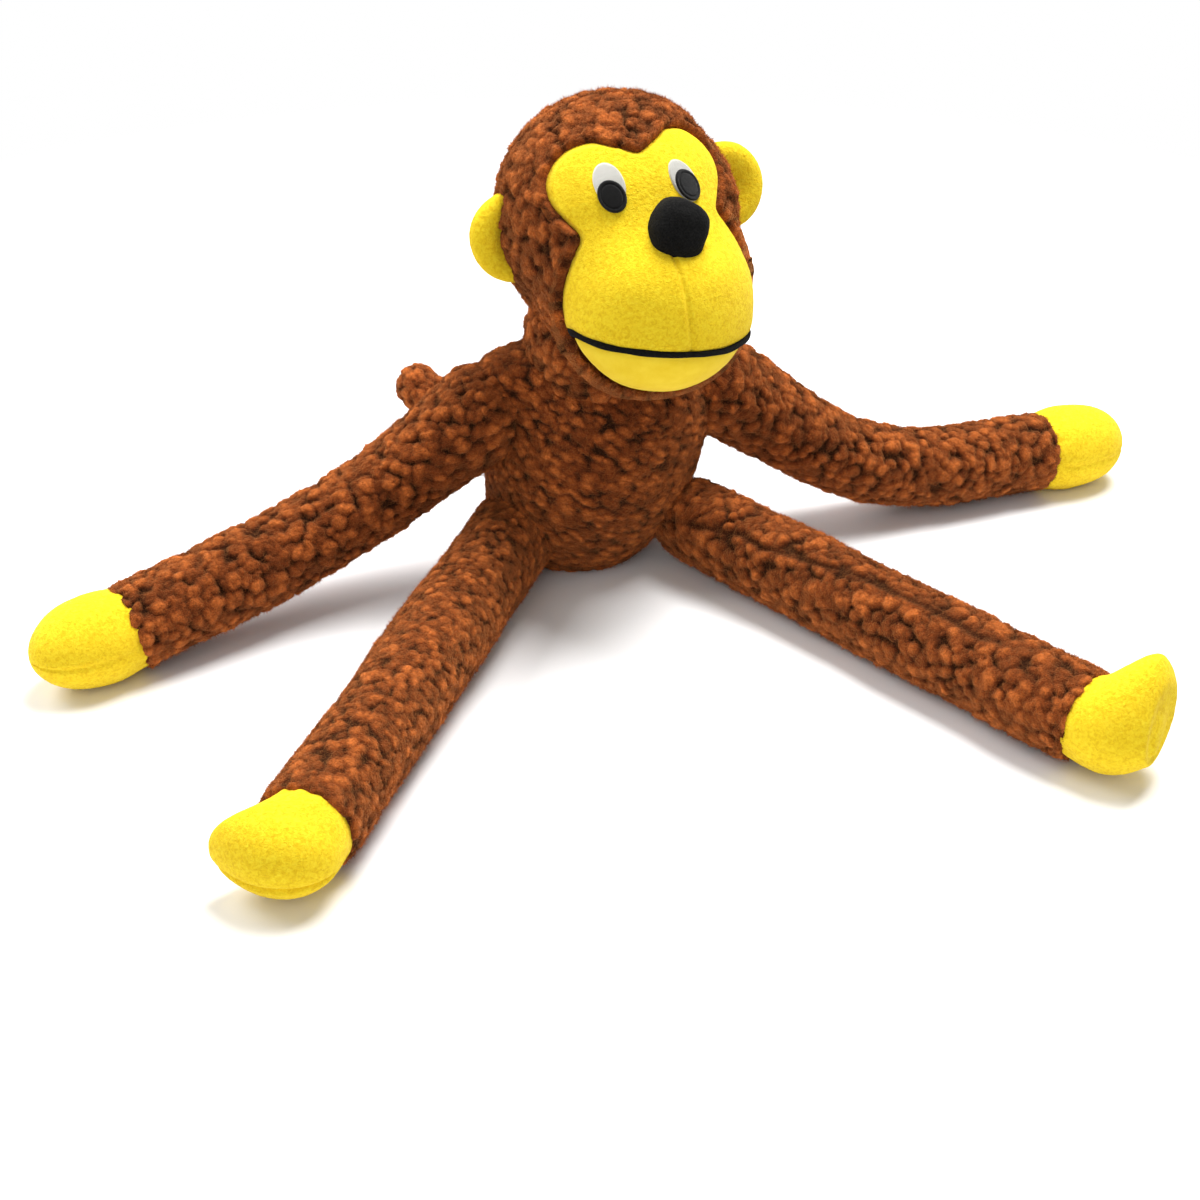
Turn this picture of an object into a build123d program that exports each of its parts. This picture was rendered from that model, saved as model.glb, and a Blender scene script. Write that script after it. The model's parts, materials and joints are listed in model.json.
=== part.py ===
from build123d import *
from math import cos, hypot, radians, sin, sqrt
import os

# A sitting stuffed monkey with long limbs and a tail, in millimetres.
# It faces -Y, its left side is +X, and it rests on z = 0.
# The origin is the middle of the flat seat under its torso.
# Every cover is a shell of cloth round its own filling. Limb segments meet in ball ends.

# ---- cloth, filling and clearances ----
fleece = 3.0               # curly brown cloth with its pile
velboa = 1.5               # short-piled cloth of the face, ears, hands and feet
thread = 0.7               # raised embroidery of the eyes
layer_gap = 0.2            # between a cover and its filling, and across a seam
stitch_gap = 0.1           # under each embroidered layer
joint_gap = 0.3            # between pieces that turn against each other
bend_room = 70             # degrees that a segment may stand bent from the one before it

# ---- torso ----
torso_half_width = 44
torso_half_depth = 38
torso_half_height = 58
torso_middle = 44          # height of the widest level above the seat
yoke_radius = 16           # rounded shoulders, which fill out the top of the torso
yoke_half_length = 25      # middle of the torso to the middle of each shoulder
yoke_back = 6              # shoulders' middle behind the torso's middle
yoke_rise = 7.5            # shoulders' middle above the arms' joint centres

# ---- neck and head ----
neck_radius = 24
neck_sink = 10             # neck ball's centre below the torso's top
neck_overlap = 17          # how far the neck ball reaches into the skull
skull_radius = 45.5
head_shift = 4             # head's centre to the monkey's left of the neck
head_forward = 5           # head's centre in front of the neck
head_pitch = -15           # degrees, face tipped up
head_roll = -4.5           # degrees, left ear raised
head_yaw = 4               # degrees, face turned to its left

# ---- face ----
face_inset = 1.0           # yellow cloth lies below the fleece that surrounds it
brow_spread = 14           # each brow lobe's centre from the middle
brow_height = 13
brow_radius = 18
cheek_half_width = 27
cheek_bottom = -34
eye_azimuth = 18.9         # degrees sideways from straight ahead
eye_rise = 15.5            # degrees above the head's centre
eye_white_half = (5.5, 7.5)
eye_pupil_half = (4.7, 5.7)
eye_pupil_drop = 1.5       # pupil's centre below the white's centre

# ---- muzzle, mouth and nose ----
muzzle_radius = 38
muzzle_half_height = 33
muzzle_sink = 21.5         # muzzle's centre inside the skull's front
muzzle_drop = 26           # muzzle's centre below the head's centre
muzzle_tilt = 13.3         # degrees, mouth falls towards the front
muzzle_roll = 7            # degrees, mouth falls towards its left
mouth_drop = 10            # mouth line below the muzzle's centre
mouth_reach = 7            # mouth corners in front of the muzzle's centre
piping_radius = 1.5
nose_radius = 10.3
nose_stand = 3             # nose's centre in front of the skull
nose_shift = 4             # nose's centre to the left of the middle of the face

# ---- ears ----
ear_radius = 17
ear_half_thickness = 6
ear_sink = {"right": 6.5, "left": 1.5}   # ear's centre inside the skull's side
ear_back = 3               # ear's centre behind the head's centre

# ---- limbs ----
arm_radius = 17.5
leg_radius = 17.5
hand_radius = 16.5
hand_reach = 20            # wrist to the middle of the hand
cuff_radius = 15.0         # hand or foot where it leaves the fleece
foot_radius = 15.5
foot_half_length = 23
sole_depth = 4.0           # how much of the foot's underside the sole covers
armhole_depth = 3.4        # limb's ball end inside the torso's wall
shoulder_height = 62.5
elbow_height = {"right": 30.0, "left": 19.0}

# Azimuths turn from +X towards +Y. Runs are level lengths.
shoulder_azimuth = {"right": 178, "left": -4}          # degrees
upper_arm_azimuth = {"right": 188.4, "left": -7.5}     # degrees
upper_arm_run = {"right": 54.6, "left": 62.5}
forearm_azimuth = {"right": 199, "left": 2.4}          # degrees
forearm_run = {"right": 88.9, "left": 84}
hand_azimuth = {"right": 198, "left": 0}               # degrees
hip_azimuth = {"right": 204.2, "left": -39.6}          # degrees
leg_azimuth = {"right": 235.5, "left": -63.3}          # degrees
thigh_run = 80
shin_run = {"right": 91.8, "left": 88.7}
foot_azimuth = {"right": 220.6, "left": -47}           # degrees, ankle to the foot's middle
foot_run = {"right": 19.6, "left": 17.7}
toe_azimuth = {"right": 164.6, "left": 43.4}           # degrees
toe_rise = {"right": 0, "left": 67}                    # degrees

# ---- tail ----
tail_radius = 10
tail_socket_depth = 1.3
tail_azimuth = 90          # degrees
tail_base_azimuth = 116.6  # degrees
tail_base_run = 49.2
tail_end_azimuth = 122.5   # degrees
tail_end_run = 52
tail_tip_height = 17

low_end = (Align.CENTER, Align.CENTER, Align.MIN)
far = 4 * skull_radius     # long enough to cut through anything


def level_step(start, azimuth, run, height):
    """The point a level run away from start, at a height above the floor."""
    turn = radians(azimuth)
    return (start[0] + run * cos(turn), start[1] + run * sin(turn), height)


def torso_root(azimuth, height, stand):
    """A limb's joint centre, standing off the torso's wall at a height."""
    level = sqrt(1 - ((height - torso_middle) / torso_half_height) ** 2)
    turn = radians(azimuth)
    wall = level / hypot(cos(turn) / torso_half_width, sin(turn) / torso_half_depth)
    return level_step((0, 0), azimuth, wall + stand, height)


# ---- joint centres, from the driving dimensions ----
neck_pivot = (0, 0, torso_middle + torso_half_height - neck_sink)
head_center = (head_shift, -head_forward,
               neck_pivot[2] + skull_radius + neck_radius - neck_overlap)
shoulders, elbows, wrists, hands = {}, {}, {}, {}
hips, knees, ankles, feet = {}, {}, {}, {}
for side in ("right", "left"):
    shoulders[side] = torso_root(shoulder_azimuth[side], shoulder_height,
                                 arm_radius - armhole_depth)
    elbows[side] = level_step(shoulders[side], upper_arm_azimuth[side], upper_arm_run[side],
                              elbow_height[side])
    wrists[side] = level_step(elbows[side], forearm_azimuth[side], forearm_run[side],
                              arm_radius + joint_gap)
    hands[side] = level_step(wrists[side], hand_azimuth[side], hand_reach, hand_radius)
    hips[side] = torso_root(hip_azimuth[side], leg_radius, leg_radius - armhole_depth)
    knees[side] = level_step(hips[side], leg_azimuth[side], thigh_run, leg_radius)
    ankles[side] = level_step(knees[side], leg_azimuth[side], shin_run[side], leg_radius)
    foot_height = foot_radius + (foot_half_length - foot_radius) * sin(radians(toe_rise[side]))
    feet[side] = level_step(ankles[side], foot_azimuth[side], foot_run[side], foot_height)
tail_root = torso_root(tail_azimuth, tail_radius, tail_radius - tail_socket_depth)
tail_joint = level_step(tail_root, tail_base_azimuth, tail_base_run, tail_radius)
tail_tip = level_step(tail_joint, tail_end_azimuth, tail_end_run, tail_tip_height)


def ball(center, radius):
    return Pos(*center) * Sphere(radius)


def spheroid(radius, half_length):
    """An egg about the origin, round about its Z axis."""
    half = Ellipse(radius, half_length) & Pos(radius, 0) * Rectangle(2 * radius, 2 * half_length)
    return revolve(Plane.XZ * half, axis=Axis.Z)


def rod(start, end, radius, start_ball=False, end_ball=False):
    """A round bar, with a ball of its own radius at either end if asked for."""
    axis = Vector(*end) - Vector(*start)
    bar = Cylinder(radius, axis.length, align=low_end)
    if start_ball:
        bar += Sphere(radius)
    if end_ball:
        bar += Pos(0, 0, axis.length) * Sphere(radius)
    return Plane(origin=start, z_dir=axis) * bar


def above(shape, height):
    """The part of a shape that lies above a level."""
    return shape & Pos(0, 0, height) * Box(far, far, far, align=low_end)


def swing_room(joint, before, radius):
    """What a ball-ended segment sweeps in the end of the segment before it."""
    room = radius + joint_gap
    bend = radians(bend_room)
    halfway = (radians(90) - bend) / 2
    touch = (room * cos(bend), -room * sin(bend))
    rim = (room * (1 + sin(bend)) / cos(bend), room)
    bowl = ThreePointArc((0, -room), (room * sin(halfway), -room * cos(halfway)), touch)
    profile = make_face(bowl + Polyline(touch, rim, (0, room), (0, -room)))
    axis = Vector(*joint) - Vector(*before)
    return Plane(origin=joint, z_dir=axis) * revolve(Plane.XZ * profile, axis=Axis.Z)


def layers(outline, wall):
    """A cover and its filling, where outline(inset) is the piece drawn in by inset."""
    cover = outline(0) - outline(wall)
    filling = outline(wall + layer_gap)
    return cover, filling


pieces = {}


def add_pair(name, cover, filling):
    pieces[name + "_cover"] = cover
    pieces[name + "_stuffing"] = filling


# ---- torso, with a round seat in it for each limb's ball end ----
def torso_outline(inset):
    half_sizes = (torso_half_width - inset, torso_half_depth - inset, torso_half_height - inset)
    trunk = Pos(0, 0, torso_middle) * scale(Sphere(1), by=half_sizes)
    height = shoulder_height + yoke_rise
    yoke = rod((-yoke_half_length, yoke_back, height), (yoke_half_length, yoke_back, height),
               yoke_radius - inset, start_ball=True, end_ball=True)
    return above(trunk + yoke, inset)


def limb_seats():
    seats = ball(neck_pivot, neck_radius + layer_gap) + ball(tail_root, tail_radius + joint_gap)
    for side in ("right", "left"):
        seats += ball(shoulders[side], arm_radius + joint_gap)
        seats += ball(hips[side], leg_radius + joint_gap)
    return seats


def make_torso():
    seats = limb_seats()
    cover, filling = layers(torso_outline, fleece)
    add_pair("torso", cover - seats, filling - seats)


# ---- neck: a short stuffed ball that the head nods on ----
def make_neck():
    cover, filling = layers(lambda inset: ball(neck_pivot, neck_radius - inset), fleece)
    add_pair("neck", cover, filling)


# ---- head, drawn about its own centre and then set on the neck ----
head_place = Location(head_center, (head_pitch, head_roll, head_yaw))
muzzle_place = Location((0, muzzle_sink - skull_radius, -muzzle_drop),
                        (muzzle_tilt, muzzle_roll, 0))
skull_room = Sphere(skull_radius + layer_gap)
mouth_radius = muzzle_radius * sqrt(1 - (mouth_drop / muzzle_half_height) ** 2)
piping_center = mouth_radius - velboa + piping_radius      # the piping lies on the filling


def on_head(shape):
    """Set a piece of the head in its place, clear of the neck's ball."""
    return head_place * shape - ball(neck_pivot, neck_radius + joint_gap)


def face_opening(inset):
    """The heart-shaped way through the skull's front for the yellow face."""
    cheek_height = brow_height - cheek_bottom
    outline = Pos(0, cheek_bottom + cheek_height / 2) * Rectangle(
        2 * (cheek_half_width - inset), cheek_height - 2 * inset)
    for x in (-brow_spread, brow_spread):
        outline += Pos(x, brow_height) * Circle(brow_radius - inset)
    return extrude(Plane.XZ * outline, far)


def make_skull():
    cover, filling = layers(lambda inset: Sphere(skull_radius - inset), fleece)
    add_pair("head", on_head(cover - face_opening(0)), on_head(filling))
    face = Sphere(skull_radius - face_inset) - Sphere(skull_radius - face_inset - velboa)
    pieces["face_panel"] = on_head(face & face_opening(layer_gap))


def eye_patch(half_sizes, drop, inner):
    """An oval of thread on the face, from an inner radius outwards."""
    turn, rise = radians(eye_azimuth), radians(eye_rise)
    gaze = (sin(turn) * cos(rise), -cos(turn) * cos(rise), sin(rise))
    plane = Plane(origin=(0, 0, 0), x_dir=(cos(turn), sin(turn), 0), z_dir=gaze)
    oval = extrude(plane * Pos(0, -drop) * Ellipse(*half_sizes), far)
    return (Sphere(inner + thread) - Sphere(inner)) & oval


def make_eyes():
    white_radius = skull_radius - face_inset + stitch_gap
    pupil_radius = white_radius + thread + stitch_gap
    white = eye_patch(eye_white_half, 0, white_radius)
    pupil = eye_patch(eye_pupil_half, eye_pupil_drop, pupil_radius)
    for name, patch in (("white", white), ("pupil", pupil)):
        pieces["left_eye_" + name] = on_head(patch)
        pieces["right_eye_" + name] = on_head(mirror(patch, about=Plane.YZ))


def muzzle_outline(inset):
    return spheroid(muzzle_radius - inset, muzzle_half_height - inset)


def piping_ring(radius):
    """The mouth's piping, cut off at the two corners of the mouth."""
    ring = Pos(0, 0, -mouth_drop) * Torus(piping_center, radius)
    return split(ring, Plane(origin=(0, -mouth_reach, 0), z_dir=(0, -1, 0)))


def make_muzzle():
    seam = layer_gap / 2
    shell, filling = layers(muzzle_outline, velboa)
    shell = shell - piping_ring(piping_radius + layer_gap)
    upper = split(shell, Plane(origin=(0, 0, seam - mouth_drop), z_dir=(0, 0, 1)))
    cuts = {"left_muzzle_panel": split(upper, Plane(origin=(seam, 0, 0), z_dir=(1, 0, 0))),
            "right_muzzle_panel": split(upper, Plane(origin=(-seam, 0, 0), z_dir=(-1, 0, 0))),
            "chin_panel": split(shell, Plane(origin=(0, 0, -seam - mouth_drop), z_dir=(0, 0, -1))),
            "muzzle_stuffing": filling,
            "mouth_piping": piping_ring(piping_radius)}
    for name, shape in cuts.items():
        pieces[name] = on_head(muzzle_place * shape - skull_room)


def make_nose():
    center = (nose_shift, -skull_radius - nose_stand, 0)
    behind = skull_room + muzzle_place * muzzle_outline(-layer_gap)
    cover, filling = layers(lambda inset: ball(center, nose_radius - inset), velboa)
    add_pair("nose", on_head(cover - behind), on_head(filling - behind))


def make_ears():
    def outline(inset):
        return spheroid(ear_radius - inset, ear_half_thickness - inset)
    cover, filling = layers(outline, velboa)
    for side, sign in (("right", -1), ("left", 1)):
        place = Pos(sign * (skull_radius - ear_sink[side]), ear_back, 0) * Rot(90, 0, 0)
        add_pair(side + "_ear", on_head(place * cover - skull_room),
                 on_head(place * filling - skull_room))


# ---- limbs: the first segment turns in the torso, the second in the first ----
def limb_segment(start, end, radius):
    """A cover and its filling with a ball at the start and an open, flat end."""
    return layers(lambda inset: rod(start, end, radius - inset, start_ball=True), fleece)


def make_limb(names, points, radius):
    root, joint, end = points
    room = swing_room(joint, root, radius)
    cover, filling = limb_segment(root, joint, radius)
    add_pair(names[0], cover - room, filling - room)
    cover, filling = limb_segment(joint, end, radius)
    add_pair(names[1], cover, filling)


def past_seam(shape, seam, before):
    """What of a hand or foot lies past the flat end of its limb."""
    along = (Vector(*seam) - Vector(*before)).normalized()
    return split(shape, Plane(origin=Vector(*seam) + along * layer_gap, z_dir=along))


def make_hand(side):
    wrist, middle = wrists[side], hands[side]
    axis = Vector(*middle) - Vector(*wrist)

    def outline(inset):
        mitten = Plane(origin=middle, z_dir=axis) * Sphere(hand_radius - inset)
        return mitten + rod(wrist, middle, cuff_radius - inset)
    cover, filling = layers(outline, velboa)
    add_pair(side + "_hand", past_seam(cover, wrist, elbows[side]),
             past_seam(filling, wrist, elbows[side]))


def make_foot(side):
    ankle, middle = ankles[side], feet[side]
    turn, rise = radians(toe_azimuth[side]), radians(toe_rise[side])
    toe = Vector(cos(turn) * cos(rise), sin(turn) * cos(rise), sin(rise))
    away = Vector(*middle) - Vector(*ankle)
    down = (away - toe * away.dot(toe)).normalized()

    reach = toe * (foot_half_length - foot_radius)
    ends = (Vector(*middle) - reach, Vector(*middle) + reach)

    def outline(inset):
        boot = rod(*ends, foot_radius - inset, start_ball=True, end_ball=True)
        return boot + rod(ankle, middle, cuff_radius - inset)
    cover, filling = layers(outline, velboa)
    cover = past_seam(cover, ankle, knees[side])
    seam = Vector(*middle) + down * (foot_radius - sole_depth)
    pieces[side + "_foot_sole"] = split(cover, Plane(origin=seam, z_dir=down))
    upper = split(cover, Plane(origin=seam - down * layer_gap, z_dir=-down))
    add_pair(side + "_foot", upper, past_seam(filling, ankle, knees[side]))


def make_limbs():
    for side in ("right", "left"):
        make_limb((side + "_upper_arm", side + "_forearm"),
                  (shoulders[side], elbows[side], wrists[side]), arm_radius)
        make_limb((side + "_thigh", side + "_shin"),
                  (hips[side], knees[side], ankles[side]), leg_radius)
        make_hand(side)
        make_foot(side)


# ---- tail: two segments, the second with a rounded tip ----
def make_tail():
    room = swing_room(tail_joint, tail_root, tail_radius)
    cover, filling = limb_segment(tail_root, tail_joint, tail_radius)
    add_pair("tail_base", cover - room, filling - room)

    def outline(inset):
        return rod(tail_joint, tail_tip, tail_radius - inset, start_ball=True, end_ball=True)
    add_pair("tail_end", *layers(outline, fleece))


make_torso()
make_neck()
make_skull()
make_eyes()
make_muzzle()
make_nose()
make_ears()
make_limbs()
make_tail()

os.makedirs("parts", exist_ok=True)
for name, shape in pieces.items():
    export_step(shape, "parts/" + name + ".step")
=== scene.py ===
import json
from itertools import product
from math import cos, pi, radians, sin

import bpy
import numpy as np
from mathutils import Matrix, Vector


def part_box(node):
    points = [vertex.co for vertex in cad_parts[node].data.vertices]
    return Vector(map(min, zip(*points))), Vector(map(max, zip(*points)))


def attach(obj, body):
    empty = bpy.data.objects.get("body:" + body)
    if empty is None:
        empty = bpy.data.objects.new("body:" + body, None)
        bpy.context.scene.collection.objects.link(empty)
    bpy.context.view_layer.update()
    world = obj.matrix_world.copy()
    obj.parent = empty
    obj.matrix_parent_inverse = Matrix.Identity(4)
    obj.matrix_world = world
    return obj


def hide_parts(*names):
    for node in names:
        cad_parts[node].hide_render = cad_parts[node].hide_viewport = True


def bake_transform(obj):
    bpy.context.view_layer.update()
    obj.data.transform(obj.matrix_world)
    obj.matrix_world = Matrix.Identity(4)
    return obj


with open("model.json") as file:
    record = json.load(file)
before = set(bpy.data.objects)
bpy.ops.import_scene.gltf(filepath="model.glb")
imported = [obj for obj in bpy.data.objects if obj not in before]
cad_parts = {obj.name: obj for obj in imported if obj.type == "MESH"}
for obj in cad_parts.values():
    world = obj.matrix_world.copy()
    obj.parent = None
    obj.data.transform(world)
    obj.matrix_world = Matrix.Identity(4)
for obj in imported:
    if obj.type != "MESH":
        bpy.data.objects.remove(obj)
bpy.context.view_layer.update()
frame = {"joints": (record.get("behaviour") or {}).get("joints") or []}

# A sitting stuffed monkey in curly brown fleece with a yellow face, ears, hands and feet.
# Every surface is a closed grid of rings, worked out in metres in the frame of the CAD model.
# The fleece's curls are real relief with short mesh fibres on them; finer pile is bump.

JOINT_AT = {j["name"]: np.array(j["pos_m"]) for j in frame["joints"]}
UP = np.array([0.0, 0.0, 1.0])
FLOOR_CLEARANCE = 0.0002

# ---- cloth ----
CURL = 0.0042               # width of one curl of the fleece
CURL_DEPTH = 0.0026         # from a crevice to the top of a curl
WAVE = 0.0031               # the finer, flatter waves of the torso
WAVE_DEPTH = 0.0012
SMALL_CURL = 0.0034         # the right leg's smaller curls
SMALL_CURL_DEPTH = 0.0015
FIBRES_PER_MM2 = 3.6        # loose fibres that stand on the curls
FIBRE_LENGTH = 0.0015
FIBRE_WIDTH = 0.00016
FIBRE_ROOT = 0.0002         # how deep a fibre starts below the surface
CREASE_PRESS = 0.75         # share of the curls' height that a seam takes away
CURL_MIDDLE = 0.65          # share of the depth that lies below the rings' surface
LUMP, LUMP_SIZE = 0.0008, 0.022     # uneven stuffing under the fleece: height and width
PILE, PILE_SIZE = 0.00022, 0.0010   # tufts on each curl
PLUSH_LUMP, PLUSH_LUMP_SIZE = 0.0003, 0.011
PLUSH_PILE, PLUSH_PILE_SIZE = 0.00007, 0.0012
FLEECE_STEP = 0.00055       # spacing of the fleece's mesh
PLUSH_STEP = 0.0009         # spacing of the yellow cloth's mesh

# ---- head, in its own frame: x to its left, y backwards, z up ----
HEAD_PITCH = radians(-15)
HEAD_ROLL = radians(-4.5)
HEAD_YAW = radians(4)
MUZZLE_CENTER = np.array([0.0012, -0.024, -0.026])
MUZZLE_TILT = radians(13.3)
MUZZLE_ROLL = radians(10)
MUZZLE_RADIUS = 0.0385
MUZZLE_HALF_HEIGHT = 0.033
MUZZLE_BLEND = 0.010        # width of the fold between skull and muzzle
JAW_BLEND = 0.004
JAW_OFFSET = (0.0, -0.007, -0.009)      # from the muzzle's middle
JAW_HALF = np.array([0.036, 0.033, 0.028])
MOUTH_DROP = 0.0100         # of the mouth's plane below the muzzle's middle
NOSE_CENTER = np.array([0.0050, -0.0485, -0.0020])
NOSE_HALF = np.array([0.0105, 0.0092, 0.0107])
NOSE_ROLL = radians(32)
NOSE_SQUARENESS = 2.7       # 2 is an ellipsoid, and a box has no limit
# Half of the yellow face's edge in mm, from the dip in the brow down to the chin
FACE_EDGE = [(0, -37.3, 26.1), (8, -34.5, 29.7), (15, -29.3, 32.2), (25, -24, 29.7), (32.5, -23.4, 21.3),
             (34, -28, 13.5), (31, -33, 6.8), (27.5, -37, 0.8), (31, -35, -6.2), (36, -32, -16.5),
             (38, -29, -34), (30, -31, -47), (17, -29, -56), (0, -27, -58)]


def unit(v):
    return v / np.linalg.norm(v, axis=-1, keepdims=True)


def turned(angle, axis):
    return np.array(Matrix.Rotation(angle, 3, axis))


def ways_round(count):
    """Evenly spaced angles round a full turn."""
    return np.arange(count) * 2 * pi / count


def groove(away, depth, width):
    """Depth of a soft groove at a distance away from its middle line."""
    return depth * np.exp(-(away / width) ** 2)


# ---------------------------------------------------------------- relief of the cloth

SCATTER = np.array([73856093, 19349663, 83492791], dtype=np.int64)
MASK = 0xFFFFFFFF


def scatter(cells, salt):
    """A repeatable number from 0 to 1 for each whole-number cell."""
    n = ((cells * SCATTER).sum(-1) + salt * 374761393) & MASK
    n = ((n ^ (n >> 15)) * 2246822519) & MASK
    n = ((n ^ (n >> 13)) * 3266489917) & MASK
    return (n ^ (n >> 16)) / MASK


def smooth_noise(points, size, salt):
    """Smooth noise from -1 to 1, in lumps of about one size."""
    q = points / size
    base = np.floor(q).astype(np.int64)
    t = q - base
    t = t * t * (3 - 2 * t)
    total = 0
    for corner in product((0, 1), repeat=3):
        weight = np.prod(np.where(corner, t, 1 - t), axis=-1)
        total = total + weight * scatter(base + np.array(corner), salt)
    return 2 * total - 1


def curl_domes(points, size, salt):
    """Height of the highest of a set of scattered round curls, and a number for that curl."""
    q = points / size
    base = np.floor(q).astype(np.int64)
    height = np.zeros(q.shape[:-1])
    tone = np.full(q.shape[:-1], 0.5)
    for offset in product((-1, 0, 1), repeat=3):
        cell = base + np.array(offset)
        seed = cell + np.stack([scatter(cell, salt + i) for i in range(3)], -1)
        own, wide = scatter(cell, salt + 7), scatter(cell, salt + 9)
        away = np.linalg.norm(q - seed, axis=-1) / (0.62 + 0.36 * wide)
        dome = (0.62 + 0.38 * own) * np.sqrt(np.clip(1 - away ** 2, 0, 1))
        higher = dome > height
        tone = np.where(higher, own, tone)
        height = np.where(higher, dome, height)
    return height, tone


def fleece_relief(points, size, grain, salt):
    """Height of the fleece from 0 in a crevice to 1 on a curl, and each curl's own tone."""
    wander = np.stack([smooth_noise(points, 0.9 * size, salt + i) for i in range(3)], -1)
    q = (points + 0.30 * size * wander) @ grain
    height, tone = curl_domes(q, size, salt + 11)
    tuft, _ = curl_domes(q, 0.42 * size, salt + 23)
    return np.clip(height * (0.80 + 0.24 * tuft), 0, 1), tone


# ---------------------------------------------------------------- meshes

def ring_normals(rings):
    """Outward directions of a grid of closed rings."""
    around = np.roll(rings, -1, axis=1) - np.roll(rings, 1, axis=1)
    along = np.gradient(rings, axis=0)
    normal = np.cross(around, along)
    normal = unit(normal + 1e-15)
    middle = rings.mean(axis=(0, 1))
    if ((rings - middle) * normal).sum() < 0:
        normal = -normal
    return normal


def build_mesh(name, points, faces, attributes):
    """A smooth-shaded piece from points, and faces as arrays of three or four points each."""
    mesh = bpy.data.meshes.new(name)
    mesh.vertices.add(len(points))
    mesh.vertices.foreach_set("co", points.astype(np.float32).ravel())
    corners = np.concatenate([f.ravel() for f in faces])
    totals = np.concatenate([np.full(len(f), f.shape[1]) for f in faces])
    mesh.loops.add(len(corners))
    mesh.loops.foreach_set("vertex_index", corners.astype(np.int32))
    mesh.polygons.add(len(totals))
    mesh.polygons.foreach_set("loop_start", (np.cumsum(totals) - totals).astype(np.int32))
    mesh.polygons.foreach_set("use_smooth", np.ones(len(totals), dtype=bool))
    mesh.update(calc_edges=True)
    for key, values in attributes.items():
        mesh.attributes.new(key, "FLOAT", "POINT").data.foreach_set("value", values.astype(np.float32))
    piece = bpy.data.objects.new(name, mesh)
    bpy.context.scene.collection.objects.link(piece)
    return piece


def skin(name, rings, attributes=None, fibres=None):
    """A closed mesh of rings with a fan of triangles over each end, and fibres standing on it."""
    rows, sides = rings.shape[:2]
    points = np.vstack([rings.reshape(-1, 3), rings[0].mean(0), rings[-1].mean(0)])
    start = np.arange(rows - 1)[:, None] * sides
    here = np.arange(sides)
    after = (here + 1) % sides
    quads = np.stack([start + here, start + after, start + sides + after, start + sides + here], -1)
    first, last, base = rows * sides, rows * sides + 1, (rows - 1) * sides
    fans = np.vstack([np.stack([np.full(sides, first), after, here], -1),
                      np.stack([np.full(sides, last), base + here, base + after], -1)])
    quads = quads.reshape(-1, 4)
    if signed_volume(points, quads) < 0:
        quads, fans = quads[:, ::-1], fans[:, ::-1]
    values = {}
    for key, grid in (attributes or {}).items():
        values[key] = np.concatenate([grid.reshape(-1), [grid[0].mean(), grid[-1].mean()]])
    faces = [quads, fans]
    if fibres:
        points, faces, values = with_fibres(points, faces, values, rings, **fibres)
    return build_mesh(name, points, faces, values)


def signed_volume(points, quads):
    a, b, c, d = (points[quads[:, i]] for i in range(4))
    return (np.einsum("ij,ij->i", a, np.cross(b, c)) + np.einsum("ij,ij->i", a, np.cross(c, d))).sum()


def with_fibres(points, faces, values, rings, salt, normal):
    """Adds thin fibres that stand at random places on a grid of rings."""
    rng = np.random.default_rng(salt)
    rows, sides = rings.shape[:2]
    along = np.linalg.norm(np.diff(rings, axis=0), axis=-1)
    across = np.linalg.norm(np.roll(rings, -1, axis=1) - rings, axis=-1)[:-1]
    area = (along * across).ravel()
    area = np.where(area > 4 * np.median(area), 0, area)        # no fibres on turned-in edges
    count = int(area.sum() * 1e6 * FIBRES_PER_MM2)
    cell = rng.choice(len(area), count, p=area / area.sum())
    root = rings[:-1].reshape(-1, 3)[cell]
    root = root + rng.uniform(-0.5, 0.5, (count, 3)) * np.sqrt(area[cell])[:, None]
    outward = normal[:-1].reshape(-1, 3)[cell]
    way = unit(outward * 0.7 + unit(rng.normal(size=(count, 3))))
    flat = unit(np.cross(way, rng.normal(size=(count, 3)))) * FIBRE_WIDTH / 2
    root = root - outward * FIBRE_ROOT
    tip = root + way * FIBRE_LENGTH * rng.uniform(0.5, 1.2, (count, 1))
    strands = np.stack([root - flat, root + flat, tip], 1)
    start = len(points) + np.arange(count)[:, None] * 3
    tip_highlight = {"curl": np.array([0.0, 0.0, 0.3])}      # a fibre's tip takes the painted highlight of a taller curl
    grown = {}
    for key, grid in values.items():
        here = grid[:rows * sides].reshape(rows, sides)[:-1].ravel()[cell]
        grown[key] = np.concatenate([grid, (here[:, None] + tip_highlight.get(key, np.zeros(3))).ravel()])
    return np.vstack([points, on_floor(strands.reshape(-1, 3))]), [*faces, start + np.arange(3)], grown


def on_floor(points):
    """Lifts what would lie below the floor, so that a soft side rests flat on it."""
    lifted = points.copy()
    lifted[..., 2] = np.maximum(lifted[..., 2], FLOOR_CLEARANCE)
    return lifted


def fleece(name, rings, grain=np.eye(3), size=CURL, depth=CURL_DEPTH, salt=1, tuck=None, crease=None):
    """A fleece skin round the surface that rings give.

    tuck is how far the cut edges are pulled in, and crease is from 0 to 1 where a seam flattens the curls.
    """
    normal = ring_normals(rings)
    height, tone = fleece_relief(rings, size, grain, salt)
    if crease is not None:
        height = height * (1 - CREASE_PRESS * crease)
    lump = LUMP * smooth_noise(rings, LUMP_SIZE, salt + 41)
    pile = PILE * smooth_noise(rings, PILE_SIZE, salt + 43)
    rise = depth * (height - CURL_MIDDLE) + lump + pile
    if tuck is not None:
        rise = rise - tuck
    surface = on_floor(rings + normal * rise[..., None])
    # the curl height also picks the fleece's colour: painted shade in its crevices and a painted highlight
    # on its tops
    piece = skin(name, surface, {"curl": height, "tone": tone}, dict(salt=salt, normal=normal))
    piece.data.materials.append(FLEECE)
    return piece


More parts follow.
